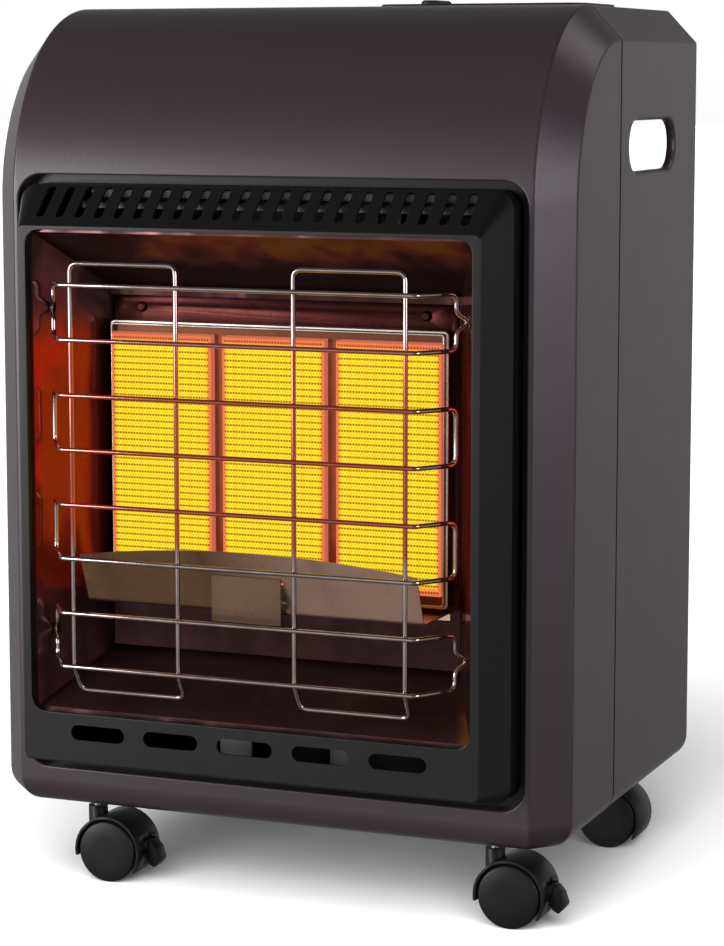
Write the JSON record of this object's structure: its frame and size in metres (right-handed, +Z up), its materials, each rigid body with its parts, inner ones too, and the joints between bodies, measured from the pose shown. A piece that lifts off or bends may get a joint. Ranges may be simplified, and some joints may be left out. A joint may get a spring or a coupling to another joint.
{
  "type": "portable propane heater",
  "caption": "Cabinet gas heater on braked casters: ceramic plaques glow behind a wire guard; cylinder bay, hand holes, lift-off louvred back and top control knob",
  "frame": {"origin": "on the floor under the middle of the bounding box", "axes": "+Z up, the burner and wire guard face -Y, +X is to the right of someone who looks at the front"},
  "size_m": [0.42, 0.354, 0.6182],
  "materials": {
    "casing": "powder-coated steel, fine satin texture, brown grey",
    "black_trim": "satin black enamel",
    "reflector": "dark heat-blued glossy steel",
    "bright_steel": "bare steel, heat tinted",
    "plaque": "perforated ceramic, glowing in use",
    "zinc": "zinc-plated sheet",
    "chrome_wire": "bright chrome",
    "brass": "machined brass",
    "copper_tube": "bare tube",
    "alloy": "die cast",
    "black_plastic": "moulded, fine grain",
    "nylon": "moulded nylon, satin",
    "button_plastic": "moulded, glossy",
    "white_ceramic": "glazed insulator"
  },
  "bodies": {
    "housing": {"front_cover": "casing", "cabinet_shell": "casing", "base_plate": "zinc", "heat_shield": "zinc", "front_surround": "black_trim", "vent_baffle": "zinc", "firebox_reflector": "reflector", "burner_frame": "bright_steel", "plaque_left": "plaque", "plaque_centre": "plaque", "plaque_right": "plaque", "burner_box_left": "zinc", "burner_box_centre": "zinc", "burner_box_right": "zinc", "burner_screws": "bright_steel", "gas_manifold": "alloy", "injectors": "brass", "main_gas_tube": "copper_tube", "pilot_gas_tube": "copper_tube", "deflector": "bright_steel", "pilot_bracket": "zinc", "pilot_burner": "brass", "thermocouple": "bright_steel", "ignition_electrode": "white_ceramic", "wire_guard": "chrome_wire", "control_panel": "black_plastic", "gas_valve": "alloy", "gas_inlet": "brass", "igniter_body": "black_plastic", "tip_over_switch": "black_plastic", "caster_stem_front_left": "bright_steel", "caster_stem_front_right": "bright_steel", "caster_stem_rear_left": "bright_steel", "caster_stem_rear_right": "bright_steel"},
    "valve_stem": {"valve_stem": "bright_steel"},
    "control_knob": {"control_knob": "black_plastic"},
    "igniter_button": {"igniter_button": "button_plastic"},
    "rear_cover": {"rear_cover": "casing"},
    "swivel_front_left": {"caster_hood_front_left": "nylon"},
    "wheels_front_left": {"caster_wheels_front_left": "nylon"},
    "swivel_front_right": {"caster_hood_front_right": "nylon"},
    "wheels_front_right": {"caster_wheels_front_right": "nylon"},
    "swivel_rear_left": {"caster_hood_rear_left": "nylon"},
    "wheels_rear_left": {"caster_wheels_rear_left": "nylon"},
    "swivel_rear_right": {"caster_hood_rear_right": "nylon"},
    "wheels_rear_right": {"caster_wheels_rear_right": "nylon"},
    "brake_front_left": {"caster_brake_front_left": "nylon"},
    "brake_front_right": {"caster_brake_front_right": "nylon"}
  },
  "joints": [
    {"name": "knob_turn", "type": "hinge", "parent": "housing", "child": "valve_stem", "pos_m": [0.062, 0.0339, 0.58], "axis": [0, 0, 1], "range_deg": [0, 180]},
    {"name": "knob_press", "type": "slide", "parent": "valve_stem", "child": "control_knob", "axis": [0, 0, 1], "range_m": [-0.004, 0], "stiffness_N_per_m": 1500, "springref_m": 0.0005},
    {"name": "igniter_press", "type": "slide", "parent": "housing", "child": "igniter_button", "axis": [0, 0, 1], "range_m": [-0.005, 0], "stiffness_N_per_m": 1500, "springref_m": 0.0005},
    {"name": "rear_cover_lift", "type": "slide", "parent": "housing", "child": "rear_cover", "axis": [0, 0, 1], "range_m": [0, 0.009]},
    {"name": "swivel_front_left", "type": "hinge", "parent": "housing", "child": "swivel_front_left", "pos_m": [-0.15, -0.0821, 0.045], "axis": [0, 0, 1], "continuous": true},
    {"name": "roll_front_left", "type": "hinge", "parent": "swivel_front_left", "child": "wheels_front_left", "pos_m": [-0.135, -0.0821, 0.022], "axis": [0, 1, 0], "continuous": true},
    {"name": "swivel_front_right", "type": "hinge", "parent": "housing", "child": "swivel_front_right", "pos_m": [0.15, -0.0821, 0.045], "axis": [0, 0, 1], "continuous": true},
    {"name": "roll_front_right", "type": "hinge", "parent": "swivel_front_right", "child": "wheels_front_right", "pos_m": [0.165, -0.0821, 0.022], "axis": [0, 1, 0], "continuous": true},
    {"name": "swivel_rear_left", "type": "hinge", "parent": "housing", "child": "swivel_rear_left", "pos_m": [-0.15, 0.1369, 0.045], "axis": [0, 0, 1], "continuous": true},
    {"name": "roll_rear_left", "type": "hinge", "parent": "swivel_rear_left", "child": "wheels_rear_left", "pos_m": [-0.135, 0.1369, 0.022], "axis": [0, 1, 0], "continuous": true},
    {"name": "swivel_rear_right", "type": "hinge", "parent": "housing", "child": "swivel_rear_right", "pos_m": [0.15, 0.1369, 0.045], "axis": [0, 0, 1], "continuous": true},
    {"name": "roll_rear_right", "type": "hinge", "parent": "swivel_rear_right", "child": "wheels_rear_right", "pos_m": [0.165, 0.1369, 0.022], "axis": [0, 1, 0], "continuous": true},
    {"name": "brake_front_left", "type": "hinge", "parent": "swivel_front_left", "child": "brake_front_left", "pos_m": [-0.1101, -0.0821, 0.027], "axis": [0, 1, 0], "range_deg": [0, 14]},
    {"name": "brake_front_right", "type": "hinge", "parent": "swivel_front_right", "child": "brake_front_right", "pos_m": [0.1899, -0.0821, 0.027], "axis": [0, 1, 0], "range_deg": [0, 14]}
  ]
}
